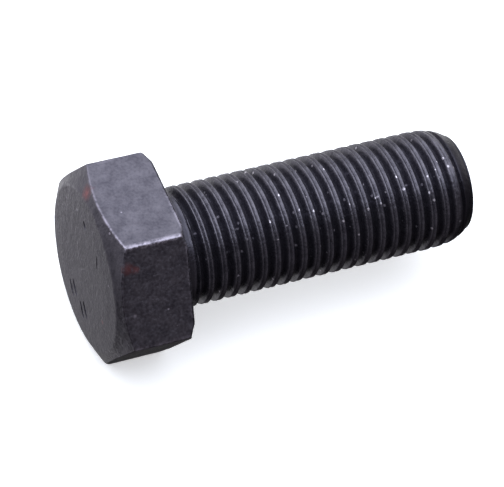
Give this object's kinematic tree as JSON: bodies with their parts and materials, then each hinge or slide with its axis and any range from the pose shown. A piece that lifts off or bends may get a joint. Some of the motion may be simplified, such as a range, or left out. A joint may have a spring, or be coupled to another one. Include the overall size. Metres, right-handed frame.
{
  "type": "hex bolt",
  "caption": "Hexagon head bolt in black oxide steel, coarse right-hand thread up to the head, chamfered head and rounded thread end.",
  "frame": {"origin": "centre of the head's outer end face, on the bolt's axis", "axes": "+X along the bolt's axis from the head to the thread's end; +Z square to one pair of spanner flats; +Y through a pair of the hexagon's corners"},
  "size_m": [0.0987, 0.0528, 0.046],
  "materials": {
    "black_oxide_steel": "hot black oxide over forged and rolled steel, lightly oiled, worn bright on edges"
  },
  "bodies": {
    "root": {"hex_bolt": "black_oxide_steel"}
  },
  "joints": []
}
